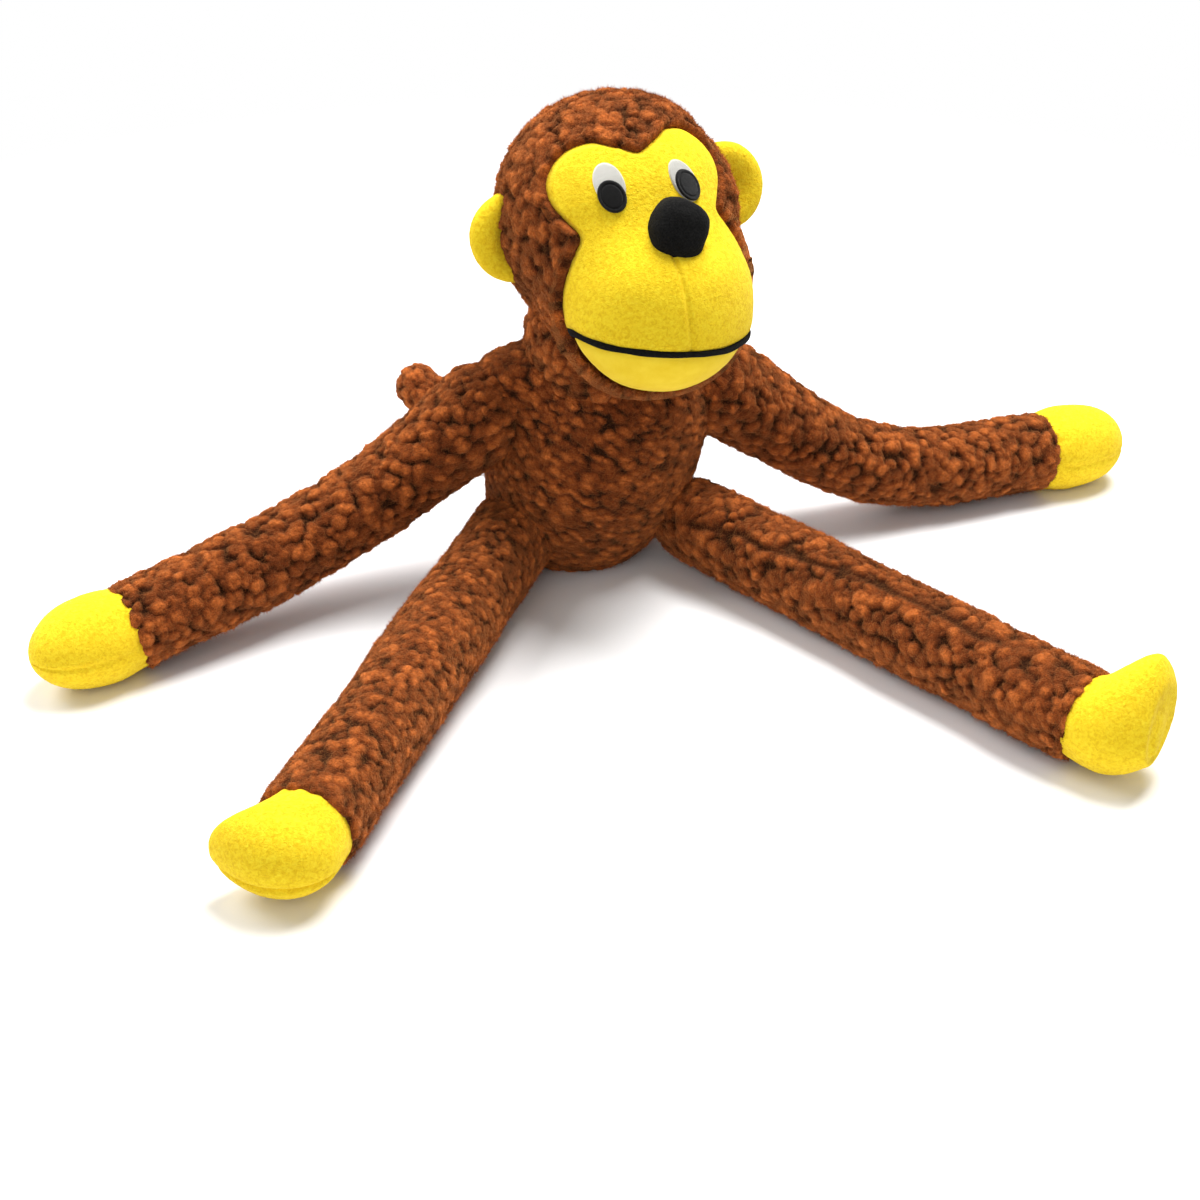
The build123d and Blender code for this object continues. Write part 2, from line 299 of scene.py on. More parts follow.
def plush(name, rings, dent=0.0, salt=101):
    """A short-piled skin, with dent as the depth of its seams and folds."""
    normal = ring_normals(rings)
    pile = PLUSH_PILE * smooth_noise(rings, PLUSH_PILE_SIZE, salt)
    lump = PLUSH_LUMP * smooth_noise(rings, PLUSH_LUMP_SIZE, salt + 1)
    rise = np.broadcast_to(pile + lump - dent, rings.shape[:2])
    piece = skin(name, on_floor(rings + normal * rise[..., None]))
    piece.data.materials.append(YELLOW)
    return piece


# ---------------------------------------------------------------- materials

def new_material(name):
    material = bpy.data.materials.new(name)
    material.use_nodes = True
    nodes = material.node_tree.nodes
    return material, nodes, material.node_tree.links, nodes["Principled BSDF"]


def add_node(nodes, kind, **values):
    node = nodes.new(kind)
    for key, value in values.items():
        if key in node.inputs:
            node.inputs[key].default_value = value
        else:
            setattr(node, key, value)
    return node


def colour_ramp(nodes, stops):
    ramp = nodes.new("ShaderNodeValToRGB")
    for element, (position, colour) in zip(ramp.color_ramp.elements, (stops[0], stops[-1])):
        element.position, element.color = position, (*colour, 1)
    for position, colour in stops[1:-1]:
        ramp.color_ramp.elements.new(position).color = (*colour, 1)
    return ramp


def object_noise(nodes, links, scale, detail=2.0, distortion=0.0):
    place = nodes.new("ShaderNodeTexCoord")
    noise = add_node(nodes, "ShaderNodeTexNoise", Scale=scale, Detail=detail, Distortion=distortion)
    links.new(place.outputs["Object"], noise.inputs["Vector"])
    return noise.outputs["Fac"]


def mixed(nodes, links, factor, a, b, blend="MIX"):
    """A colour mix, where each of factor, a and b is a socket or a plain value."""
    mix = nodes.new("ShaderNodeMix")
    mix.data_type = "RGBA"
    mix.blend_type = blend
    sockets = (mix.inputs[0], mix.inputs[6], mix.inputs[7])
    for socket, value in zip(sockets, (factor, a, b)):
        if isinstance(value, bpy.types.NodeSocket):
            links.new(value, socket)
        else:
            socket.default_value = value if isinstance(value, float) else (*value, 1)
    return mix.outputs[2]


def bumped(nodes, links, shader, height, distance, strength=1.0):
    bump = add_node(nodes, "ShaderNodeBump", Strength=strength, Distance=distance)
    links.new(height, bump.inputs["Height"])
    links.new(bump.outputs["Normal"], shader.inputs["Normal"])


def cloth_surface(shader, sheen, tint, roughness=0.95):
    shader.inputs["Roughness"].default_value = roughness
    shader.inputs["Specular IOR Level"].default_value = 0.12
    shader.inputs["Sheen Weight"].default_value = sheen
    shader.inputs["Sheen Roughness"].default_value = 0.45
    shader.inputs["Sheen Tint"].default_value = (*tint, 1)


def fleece_material():
    material, nodes, links, shader = new_material("brown_fleece")
    curl = add_node(nodes, "ShaderNodeAttribute", attribute_name="curl")
    tone = add_node(nodes, "ShaderNodeAttribute", attribute_name="tone")
    # Colour by the curl's height: the fleece's own brown, with painted shade darkening the crevices and a
    # painted highlight lightening each curl's top
    ramp = colour_ramp(nodes, [(0.0, (0.016, 0.0028, 0.0007)), (0.30, (0.070, 0.0135, 0.0030)),
                               (0.65, (0.24, 0.052, 0.0100)), (1.0, (0.60, 0.155, 0.030))])
    links.new(curl.outputs["Fac"], ramp.inputs["Fac"])
    darker = mixed(nodes, links, tone.outputs["Fac"], (0.84, 0.82, 0.80), (1.10, 1.12, 1.14))
    curls = mixed(nodes, links, 1.0, ramp.outputs["Color"], darker, "MULTIPLY")
    fibre = colour_ramp(nodes, [(0.35, (0.72, 0.70, 0.68)), (0.65, (1.22, 1.25, 1.28))])
    links.new(object_noise(nodes, links, 900.0, 5.0, 1.0), fibre.inputs["Fac"])
    coloured = mixed(nodes, links, 1.0, curls, fibre.outputs["Color"], "MULTIPLY")
    links.new(coloured, shader.inputs["Base Color"])
    bumped(nodes, links, shader, object_noise(nodes, links, 1100.0, 5.0, 1.2), 0.0011)
    cloth_surface(shader, 0.6, (0.95, 0.38, 0.12))
    return material


def yellow_material():
    material, nodes, links, shader = new_material("yellow_plush")
    pile = colour_ramp(nodes, [(0.34, (0.78, 0.51, 0.010)), (0.5, (0.88, 0.63, 0.018)),
                               (0.68, (0.93, 0.71, 0.030))])
    links.new(object_noise(nodes, links, 780.0, 4.0, 0.8), pile.inputs["Fac"])
    patch = colour_ramp(nodes, [(0.3, (0.97, 0.94, 0.85)), (0.7, (1.0, 1.0, 1.0))])
    links.new(object_noise(nodes, links, 90.0, 2.0), patch.inputs["Fac"])
    links.new(mixed(nodes, links, 1.0, pile.outputs["Color"], patch.outputs["Color"], "MULTIPLY"),
              shader.inputs["Base Color"])
    bumped(nodes, links, shader, object_noise(nodes, links, 1300.0, 4.0, 0.8), 0.00045)
    cloth_surface(shader, 0.15, (1.0, 0.86, 0.35))
    return material


def chin_material():
    material, nodes, links, shader = new_material("chin_plush")
    tone = colour_ramp(nodes, [(0.3, (0.84, 0.59, 0.022)), (0.7, (0.91, 0.67, 0.040))])
    links.new(object_noise(nodes, links, 160.0, 3.0), tone.inputs["Fac"])
    links.new(tone.outputs["Color"], shader.inputs["Base Color"])
    bumped(nodes, links, shader, object_noise(nodes, links, 1900.0, 3.0), 0.00015)
    cloth_surface(shader, 0.15, (1.0, 0.9, 0.5), 0.8)
    return material


def thread_material(name, dark, light, stitch_scale):
    """Satin stitch: fine parallel threads with a soft gloss."""
    material, nodes, links, shader = new_material(name)
    place = nodes.new("ShaderNodeTexCoord")
    wave = add_node(nodes, "ShaderNodeTexWave", Scale=stitch_scale, Distortion=1.5, Detail=2.0)
    links.new(place.outputs["Object"], wave.inputs["Vector"])
    tone = colour_ramp(nodes, [(0.2, dark), (0.8, light)])
    links.new(wave.outputs["Fac"], tone.inputs["Fac"])
    links.new(tone.outputs["Color"], shader.inputs["Base Color"])
    bumped(nodes, links, shader, wave.outputs["Fac"], 0.0003)
    cloth_surface(shader, 0.1, (1, 1, 1), 0.6)
    return material


def black_plush_material():
    material, nodes, links, shader = new_material("black_plush")
    tone = colour_ramp(nodes, [(0.35, (0.002, 0.002, 0.002)), (0.7, (0.010, 0.0095, 0.009))])
    links.new(object_noise(nodes, links, 1500.0, 4.0, 0.6), tone.inputs["Fac"])
    links.new(tone.outputs["Color"], shader.inputs["Base Color"])
    bumped(nodes, links, shader, object_noise(nodes, links, 1600.0, 4.0, 0.6), 0.0004)
    cloth_surface(shader, 0.03, (0.5, 0.5, 0.5))
    return material


FLEECE = fleece_material()
YELLOW = yellow_material()
CHIN = chin_material()
BLACK = black_plush_material()
WHITE_THREAD = thread_material("white_thread", (0.80, 0.77, 0.68), (0.95, 0.94, 0.88), 900.0)
BLACK_THREAD = thread_material("black_thread", (0.002, 0.002, 0.002), (0.008, 0.007, 0.007), 900.0)


# ---------------------------------------------------------------- limbs and tail

def bent_path(corners, rounding, step):
    """Evenly spaced points along straight runs with a rounded bend at each inner corner."""
    corners = [np.array(c, float) for c in corners]
    path = [corners[0]]
    for before, corner, after in zip(corners, corners[1:], corners[2:]):
        start = corner + unit(before - corner) * rounding
        end = corner + unit(after - corner) * rounding
        for t in np.linspace(0, 1, 24):
            path.append((1 - t) ** 2 * start + 2 * t * (1 - t) * corner + t * t * end)
    path.append(corners[-1])
    path = np.array(path)
    gaps = np.linalg.norm(np.diff(path, axis=0), axis=1)
    travelled = np.concatenate([[0], np.cumsum(gaps)])
    stations = np.linspace(0, travelled[-1], int(travelled[-1] / step) + 1)
    return np.stack([np.interp(stations, travelled, path[:, i]) for i in range(3)], -1), stations


def rings_along(centers, radii, sides, across=None):
    """Rings round a path, each turned as little as possible from the one before it."""
    direction = unit(np.gradient(centers, axis=0))
    side = unit(np.cross(direction[0], UP)) if across is None else np.array(across, float)
    angle = ways_round(sides)
    rings = np.empty((len(centers), sides, 3))
    for i, along in enumerate(direction):
        side = unit(side - along * (side @ along))
        over = np.cross(side, along)
        rings[i] = centers[i] + radii[i] * (np.cos(angle)[:, None] * side + np.sin(angle)[:, None] * over)
    return rings


POLE_GAP = 0.06     # angle round a ball's pole that the fan of triangles closes
EDGE_LIP = 0.0016   # roundness of a turned-in edge


def stuffed_tube(corners, radius, end_radius, rounding, step, open_end):
    """A tube with a ball at its start, and at its end a ball too or a turned-in edge."""
    path, stations = bent_path(corners, rounding, step)
    radii = radius + (end_radius - radius) * stations / stations[-1]
    back = unit(path[1] - path[0])
    dome = np.linspace(POLE_GAP, pi / 2, int(radius * pi / 2 / step))[:-1]
    start = path[0] - back * radius * np.cos(dome)[:, None]
    centers = np.vstack([start, path])
    radii = np.concatenate([radius * np.sin(dome), radii])
    ahead = unit(path[-1] - path[-2])
    if open_end:
        turn = np.linspace(0, pi, 14)[1:]
        close = path[-1] + ahead * EDGE_LIP * np.sin(turn)[:, None]
        close_radii = end_radius - EDGE_LIP * (1 - np.cos(turn))
    else:
        turn = np.linspace(0, pi / 2 - POLE_GAP, int(end_radius * pi / 2 / step))[1:]
        close = path[-1] + ahead * end_radius * np.sin(turn)[:, None]
        close_radii = end_radius * np.cos(turn)
    return np.vstack([centers, close]), np.concatenate([radii, close_radii])


def sides_for(radius, step):
    return int(2 * pi * radius / step) // 2 * 2


def box_center(node):
    low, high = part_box(node)
    return np.array((low + high) / 2)


def box_size(node):
    low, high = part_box(node)
    return np.array(high - low)


LIMB_RADIUS = box_size("right_shin_cover")[2] / 2
HAND_RADIUS = box_size("right_hand_cover")[2] / 2
WRIST_RADIUS = 0.0168
ANKLE_RADIUS = 0.0172
ELBOW_ROUNDING, KNEE_ROUNDING, TAIL_ROUNDING = 0.040, 0.030, 0.016
ARM_SEWN_IN, LEG_SEWN_IN, TAIL_SEWN_IN = 0.010, 0.012, 0.010    # how far behind its joint each starts
SHOULDER_FLARE, FLARE_LENGTH = 0.14, 0.060      # an arm is wider by this share at its root
HAND_HEIGHT = 0.0170        # of the hand's middle line above the floor
HAND_PUCKERS, FOOT_PUCKERS = 11, 13     # gathers round a cuff
# For each hand: wrist to its middle, its length, half its width and how blunt it is
HAND = {"right": (0.020, 0.0385, 0.0174, 2.2), "left": (0.0245, 0.0412, 0.0184, 2.9)}


def far_corner(node, outward, inset):
    """The point inset from the box's corner that lies outwards."""
    low, high = (np.array(c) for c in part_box(node))
    return np.where(np.array(outward) > 0, high - inset, low + inset)


def make_arm(side):
    shoulder, elbow = JOINT_AT[side + "_shoulder"], JOINT_AT[side + "_elbow"]
    outward = elbow - shoulder
    hand = far_corner(side + "_hand_cover", outward, HAND_RADIUS)
    if side == "left":
        hand[1] = box_center(side + "_hand_cover")[1]
    wrist = hand - unit((hand - elbow) * (1, 1, 0)) * HAND[side][0]
    wrist[2] = LIMB_RADIUS
    root = shoulder - unit(outward) * ARM_SEWN_IN
    centers, radii = stuffed_tube([root, elbow, wrist], LIMB_RADIUS, WRIST_RADIUS, ELBOW_ROUNDING,
                                  FLEECE_STEP, True)
    from_root = np.linalg.norm(centers - root, axis=-1)
    radii = radii * (1 + SHOULDER_FLARE * np.clip(1 - from_root / FLARE_LENGTH, 0, 1) ** 1.5)
    rings = rings_along(centers, radii, sides_for(LIMB_RADIUS, FLEECE_STEP))
    arm = fleece(side + "_arm_fleece", rings, salt=3 if side == "right" else 5)
    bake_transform(arm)
    names = ("upper_arm_cover", "upper_arm_stuffing", "forearm_cover", "forearm_stuffing")
    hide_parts(*(side + "_" + name for name in names))
    make_hand(side, wrist, unit(hand * (1, 1, 0) - wrist * (1, 1, 0)))


def make_hand(side, wrist, ahead):
    """An egg-shaped mitten with a seam along its side and a gathered cuff."""
    _, length, widest, blunt = HAND[side]
    widest_at, tuck_in, cuff_radius = 0.013, 0.004, 0.0148
    t = np.concatenate([np.linspace(-tuck_in, widest_at, 18)[:-1],
                        widest_at + (length - widest_at) * np.sin(np.linspace(0, pi / 2 - 0.05, 34))])
    narrowing = np.clip((t - widest_at) / (length - widest_at), 0, 1)
    opening = np.clip((t + tuck_in) / (widest_at + tuck_in), 0, 1)
    cuff = cuff_radius + (widest - cuff_radius) * np.sin(opening * pi / 2)
    radii = np.where(t > widest_at, widest * np.sqrt(1 - narrowing ** blunt) * (1 - 0.06 * narrowing), cuff)
    base = wrist.copy()
    base[2] = HAND_HEIGHT
    centers = base + ahead * t[:, None]
    rings = rings_along(centers, radii, sides_for(widest, PLUSH_STEP))
    angle = ways_round(rings.shape[1])[None, :]
    along = t[:, None]
    seam = groove(np.sin(angle), 0.0006, 0.07) * (along > 0.004)
    pucker = groove(along - 0.001, 0.00035, 0.004) * (1 + np.sin(HAND_PUCKERS * angle))
    hand = plush(side + "_hand_plush", rings, seam + pucker, salt=107)
    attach(hand, side + "_forearm")
    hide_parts(side + "_hand_cover", side + "_hand_stuffing")


def flat_end(node, joint, direction, radius):
    """Where a straight segment with a square-cut end stops, from its node's box."""
    axis = int(np.argmax(np.abs(direction)))
    low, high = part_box(node)
    rim = radius * np.sqrt(1 - direction[axis] ** 2)
    far = high[axis] - rim if direction[axis] > 0 else low[axis] + rim
    return joint + direction * (far - joint[axis]) / direction[axis]


# For each foot: the way its toe points, round and up, then its stations in mm:
# how far along, reach to the toe, reach to the heel and half width
FOOT = {"right": (radians(158), 0.0,
                  [(-4, 14.8, 14.8, 14.8), (0.5, 15.8, 15.8, 15.6), (6, 19, 16, 16.3),
                   (11, 24.5, 16.5, 16.2), (14, 26, 16.5, 15.6), (18, 22.5, 16, 14.6),
                   (22.5, 16, 13.5, 12), (26, 9, 9, 7.5), (27.6, 2.5, 2.5, 2)]),
        "left": (radians(43.4), radians(54),
                 [(-4, 14.8, 14.8, 14.8), (0.5, 15.8, 15.8, 15.6), (6, 17.5, 15.8, 16.3),
                  (12, 24, 15.2, 16.4), (17, 29.5, 13.2, 15.8), (21, 31.5, 10.8, 14.5),
                  (25, 28.5, 7.5, 12), (28, 22, 4.5, 8.5), (29.6, 10, 1, 3)])}
FOOT_RADIUS = 0.021         # on average, for the spacing of its mesh
SOLE_HEIGHT = 0.0125        # of the right foot's sole seam above the floor
SOLE_ALONG = 0.0290         # of the left foot's sole seam, from the ankle
FLEECE_PAST_SHIN = 0.0055   # how far the fleece runs on over the foot


def leg_crease(rings):
    """From 0 to 1, how strongly a seam along the upper side of the leg presses its fleece down."""
    rows, sides = rings.shape[:2]
    share = np.linspace(0, 1, rows)[:, None]
    seam_at = np.interp(share, (0.15, 0.5, 0.85), (radians(31), radians(67), radians(77)))
    seam_at = seam_at + 0.10 * smooth_noise(rings[:, :1], 0.012, 61)
    around = ways_round(sides)[None, :]
    fade = np.clip((share - 0.12) / 0.06, 0, 1) * np.clip((0.86 - share) / 0.10, 0, 1)
    return fade * groove((around - seam_at) * LIMB_RADIUS, 1.0, 0.0016)


def make_leg(side):
    hip, knee = JOINT_AT[side + "_hip"], JOINT_AT[side + "_knee"]
    ahead = unit(knee - hip)
    ankle = flat_end(side + "_shin_cover", knee, ahead, LIMB_RADIUS)
    ankle = ankle + ahead * FLEECE_PAST_SHIN
    root = hip - ahead * LEG_SEWN_IN
    centers, radii = stuffed_tube([root, knee, ankle], LIMB_RADIUS, ANKLE_RADIUS, KNEE_ROUNDING,
                                  FLEECE_STEP, True)
    rings = rings_along(centers, radii, sides_for(LIMB_RADIUS, FLEECE_STEP))
    if side == "right":
        leg = fleece("right_leg_fleece", rings, size=SMALL_CURL, depth=SMALL_CURL_DEPTH, salt=13)
    else:
        leg = fleece("left_leg_fleece", rings, salt=17, crease=leg_crease(rings))
    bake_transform(leg)
    names = ("thigh_cover", "thigh_stuffing", "shin_cover", "shin_stuffing")
    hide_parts(*(side + "_" + name for name in names))
    make_foot(side, ankle, ahead)


def make_foot(side, ankle, ahead):
    """A sock-like foot, its rings stretched towards the toe and closing at the sole."""
    azimuth, rise, stations = FOOT[side]
    toe = np.array([cos(azimuth) * cos(rise), sin(azimuth) * cos(rise), sin(rise)])
    across = unit(np.cross(ahead, toe))
    table = np.array(stations) / 1000
    t = np.linspace(0, len(stations) - 1, 72)
    values = np.stack([smooth_through(t, table[:, i]) for i in range(4)], -1)
    sides = sides_for(FOOT_RADIUS, PLUSH_STEP)
    angle = ways_round(sides)
    rings = np.empty((len(t), sides, 3))
    for i, (along, to_toe, to_heel, half_width) in enumerate(values):
        middle = ankle + ahead * along + toe * (to_toe - to_heel) / 2
        half_length = (to_toe + to_heel) / 2
        rings[i] = (middle + half_length * np.cos(angle)[:, None] * toe
                    + half_width * np.sin(angle)[:, None] * across)
    lowest = rings[..., 2].min()
    if lowest < 0:
        rings[..., 2] -= lowest * np.clip((values[:, 0] / 0.02), 0, 1)[:, None]
    along = values[:, :1]
    from_sole = rings[..., 2] - SOLE_HEIGHT if side == "right" else along - SOLE_ALONG
    seam = groove(from_sole, 0.0019, 0.0010) * (along > 0.008)
    pucker = groove(along, 0.0003, 0.004) * (1 + np.sin(FOOT_PUCKERS * angle)[None, :])
    foot = plush(side + "_foot_plush", rings, seam + pucker, salt=113)
    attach(foot, side + "_shin")
    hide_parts(*(side + "_foot" + part for part in ("_cover", "_sole", "_stuffing")))


def smooth_through(t, values):
    """A smooth curve through values at whole-number steps (Catmull-Rom)."""
    padded = np.concatenate([[2 * values[0] - values[1]], values, [2 * values[-1] - values[-2]]])
    i = np.clip(np.floor(t).astype(int), 0, len(values) - 2)
    u = t - i
    a, b, c, d = (padded[i + k] for k in range(4))
    squared, cubed = 2 * a - 5 * b + 4 * c - d, 3 * b - a - 3 * c + d
    return 0.5 * (2 * b + (c - a) * u + squared * u ** 2 + cubed * u ** 3)


HOOK_START, HOOK_LIFT = 0.55, 0.003     # where the tail's end starts to rise, and its extra height


def make_tail():
    root, joint = JOINT_AT["tail_wag"], JOINT_AT["tail_bend"]
    low, high = (np.array(c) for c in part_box("tail_end_cover"))
    radius = box_size("tail_base_cover")[2] / 2
    tip = np.array([low[0], high[1], high[2]]) + np.array([radius, -radius, -radius])
    before_tip = joint + (tip - joint) * HOOK_START
    before_tip[2] = radius
    hooked = tip + np.array([0, 0, HOOK_LIFT])
    sewn_in = root - unit(joint - root) * TAIL_SEWN_IN
    centers, radii = stuffed_tube([sewn_in, joint, before_tip, hooked], radius, radius, TAIL_ROUNDING,
                                  FLEECE_STEP, False)
    rings = rings_along(centers, radii, sides_for(radius, FLEECE_STEP))
    tail = fleece("tail_fleece", rings, salt=19)
    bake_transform(tail)
    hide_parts("tail_base_cover", "tail_base_stuffing", "tail_end_cover", "tail_end_stuffing")


# ---------------------------------------------------------------- torso and neck

TORSO_HALF = np.append(box_size("torso_cover")[:2] / 2, 0.0535)
TORSO_MIDDLE = np.array([0, 0, 0.044])
TORSO_LEAN = [(0.010, -0.008), (0.045, -0.003), (0.070, 0.006), (0.10, 0.004)]   # height, shift
YOKE_HEIGHT = JOINT_AT["right_shoulder"][2] + 0.0075
SHOULDER_RADIUS = 0.0165
SHOULDER_LIFT = {-1: 0.0055, 1: 0.0}    # the right shoulder is drawn up
SHOULDER_BLEND = 0.014
INSIDE_TORSO = np.array([0, 0, 0.050])
TORSO_ARC, TORSO_ROUND = 0.052, 0.043   # mean radii up and round, for the spacing of its mesh
NECK_FULLNESS = 0.0065      # how far the neck's fleece swells past its solid


def capsule(points, start, end, radius):
    """Signed distance to a bar with ball ends."""
    start, end = np.array(start), np.array(end)
    along = end - start
    share = np.clip((points - start) @ along / (along @ along), 0, 1)
    return np.linalg.norm(points - start - share[..., None] * along, axis=-1) - radius


def ellipsoid(points, center, half):
    """Signed distance, nearly, to an ellipsoid."""
    local = (points - np.array(center)) / half
    reach = np.linalg.norm(local, axis=-1)
    slope = np.linalg.norm(local / half, axis=-1)
    return reach * (reach - 1) / np.maximum(slope, 1e-6)


def merged(a, b, width):
    """Two signed distances joined with a soft fold."""
    share = np.clip(0.5 + 0.5 * (b - a) / width, 0, 1)
    return b * (1 - share) + a * share - width * share * (1 - share)


def torso_form(points):
    """Signed distance, nearly, to a leaning egg with a soft bar across each shoulder."""
    leaning = points - np.interp(points[..., 2], *zip(*TORSO_LEAN))[..., None] * np.array([1.0, 0, 0])
    body = ellipsoid(leaning, TORSO_MIDDLE, TORSO_HALF)
    for sign, lift in SHOULDER_LIFT.items():
        neck_end = (sign * 0.010, 0.003, YOKE_HEIGHT + 0.010)
        arm_end = (sign * 0.035, 0.005, YOKE_HEIGHT - 0.001 + lift)
        body = merged(body, capsule(points, neck_end, arm_end, SHOULDER_RADIUS), SHOULDER_BLEND)
    return body


def surface_of(form, directions, origin, reach=0.09):
    """Where rays from inside a form leave it."""
    near = np.zeros(directions.shape[:-1])
    far = np.full(directions.shape[:-1], reach)
    for _ in range(24):
        middle = (near + far) / 2
        outside = form(origin + directions * middle[..., None]) > 0
        far = np.where(outside, middle, far)
        near = np.where(outside, near, middle)
    return origin + directions * far[..., None]


def upright_directions(rows, sides, pole_gap):
    """Directions on rings stacked from straight down to straight up."""
    theta = np.linspace(pole_gap, pi - pole_gap, rows)[:, None]
    phi = ways_round(sides)[None, :]
    return np.stack([np.sin(theta) * np.cos(phi), np.sin(theta) * np.sin(phi),
                     -np.cos(theta) + 0 * phi], -1)


def make_torso():
    rows, sides = int(pi * TORSO_ARC / FLEECE_STEP), sides_for(TORSO_ROUND, FLEECE_STEP)
    way = upright_directions(rows, sides, 0.02)
    rings = surface_of(torso_form, way, INSIDE_TORSO)
    waves = turned(radians(28), "Y") @ np.diag([0.62, 0.8, 1.25])
    torso = fleece("torso_fleece", rings, grain=waves, size=WAVE, depth=WAVE_DEPTH, salt=29)
    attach(torso, "torso")
    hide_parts("torso_cover", "torso_stuffing")


def make_neck():
    radius = box_size("neck_cover")[0] / 2 + NECK_FULLNESS
    way = upright_directions(int(pi * radius / FLEECE_STEP), sides_for(radius, FLEECE_STEP), 0.03)
    rings = box_center("neck_cover") + radius * way
    neck = fleece("neck_fleece", rings, salt=31)
    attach(neck, "neck")
    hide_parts("neck_cover", "neck_stuffing")


# ---------------------------------------------------------------- head

SKULL_RADIUS = box_size("head_cover")[0] / 2
HEAD_TURN = turned(HEAD_PITCH, "X") @ turned(HEAD_ROLL, "Y") @ turned(HEAD_YAW, "Z")
MUZZLE_TURN = turned(MUZZLE_TILT, "X") @ turned(MUZZLE_ROLL, "Y")


def head_center():
    low, high = (np.array(c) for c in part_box("head_cover"))
    return np.array([(low[0] + high[0]) / 2, high[1] - SKULL_RADIUS, high[2] - SKULL_RADIUS])


HEAD_AT = head_center()


def placed(points):
    """Points of the head's own frame, in the frame of the CAD model."""
    return points @ HEAD_TURN.T + HEAD_AT


def head_form(points):
    """Signed distance, nearly, to the skull, muzzle and jaw joined by soft folds."""
    skull = np.linalg.norm(points, axis=-1) - SKULL_RADIUS
    local = (points - MUZZLE_CENTER) @ MUZZLE_TURN
    muzzle = ellipsoid(local, (0, 0, 0), np.array([MUZZLE_RADIUS, MUZZLE_RADIUS, MUZZLE_HALF_HEIGHT]))
    jaw = ellipsoid(local, JAW_OFFSET, JAW_HALF)
    return merged(skull, merged(muzzle, jaw, JAW_BLEND), MUZZLE_BLEND)


def head_surface(directions, origin=np.zeros(3)):
    return surface_of(head_form, directions, origin)


def edge_angles(sides):
    """For each way round the face, the angle from straight ahead to the edge of the yellow."""
    half = np.array(FACE_EDGE) / 1000
    whole = np.vstack([half, half[-2:0:-1] * (-1, 1, 1)])
    around = np.arctan2(whole[:, 2], whole[:, 0])
    off = np.arctan2(np.hypot(whole[:, 0], whole[:, 2]), -whole[:, 1])
    order = np.argsort(around)
    around, off = around[order], off[order]
    fine = np.linspace(0, len(off), 40 * len(off), endpoint=False)
    wrap = np.concatenate([off[-3:], off, off[:3]])
    wrap_around = np.concatenate([around[-3:] - 2 * pi, around, around[:3] + 2 * pi])
    fine_off = smooth_through(fine + 3, wrap)
    fine_around = smooth_through(fine + 3, wrap_around)
    angle = -pi + ways_round(sides)
    return angle, np.interp(angle, fine_around, fine_off, period=2 * pi)


def directions_at(around, off):
    """Directions in the head's frame at an angle off straight ahead, on a way round."""
    return np.stack([np.sin(off) * np.cos(around), -np.cos(off) + 0 * around,
                     np.sin(off) * np.sin(around)], -1)


FACE_ANGLE = 0.85   # from straight ahead to the face's edge, on average
TURNED_IN = 0.12    # share of the head's radius that the fleece's cut edge runs inwards


def make_head_fleece():
    sides = sides_for(SKULL_RADIUS, FLEECE_STEP)
    around, edge = edge_angles(sides)
    rows = int((pi - FACE_ANGLE) * SKULL_RADIUS / FLEECE_STEP)
    share = np.linspace(0, 1, rows)[:, None]
    off = edge[None, :] + (pi - 0.01 - edge[None, :]) * share
    surface = head_surface(directions_at(around[None, :], off))
    from_edge = (off - edge[None, :]) * SKULL_RADIUS
    tuck = groove(from_edge, 0.0042, 0.0012) - 0.0004
    rings = placed(surface)
    lip = rings[:1] - (rings[:1] - HEAD_AT) * TURNED_IN
    rings = np.concatenate([lip, rings])
    tuck = np.concatenate([tuck[:1], tuck])
    head = fleece("head_fleece", rings, salt=37, tuck=tuck)
    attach(head, "head")
    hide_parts("head_cover", "head_stuffing")


def mouth_height(points):
    """Height above the mouth's plane, in the head's frame."""
    return ((points - MUZZLE_CENTER) @ MUZZLE_TURN)[..., 2] + MOUTH_DROP


FACE_REACH = 0.075      # along the cloth from the face's middle to its edge
UNDER_FLEECE = 1.05     # the yellow cloth runs on past its edge, under the fleece


def make_face():
    sides = sides_for(SKULL_RADIUS, PLUSH_STEP)
    around, edge = edge_angles(sides)
    rows = int(FACE_REACH / PLUSH_STEP)
    share = np.linspace(0.012, UNDER_FLEECE, rows)[:, None]
    surface = head_surface(directions_at(around[None, :], edge[None, :] * share))
    above = mouth_height(surface)
    in_front = np.clip((-surface[..., 1] - 0.030) / 0.004, 0, 1)
    below_nose = (above > 0) * (surface[..., 2] < -0.006)
    seam = groove(surface[..., 0], 0.0008, 0.0009) * below_nose
    mouth = groove(above, 0.0014, 0.0018) * in_front
    chin = 0.0022 * np.clip(-above / 0.002, 0, 1)
    border = 0.0010 + 0.0022 * np.clip((share - 0.93) / 0.12, 0, 1)
    face = plush("face_plush", placed(surface), seam + mouth + chin + border, salt=127)
    face.data.materials.append(CHIN)
    quads = (rows - 1) * sides
    below = (above[:-1] < 0) & (above[1:] < 0)
    index = np.zeros(len(face.data.polygons), dtype=np.int32)
    index[:quads] = below.reshape(-1)
    face.data.polygons.foreach_set("material_index", index)
    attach(face, "head")
    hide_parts("face_panel", "left_muzzle_panel", "right_muzzle_panel", "chin_panel",
                "muzzle_stuffing")


MOUTH_ENDS = (-radians(80), radians(70))    # its right and left end, from straight ahead
PIPING_RADIUS = 0.00112
PIPING_SINK = 0.0016        # how deep the piping's middle lies in the fold of the mouth


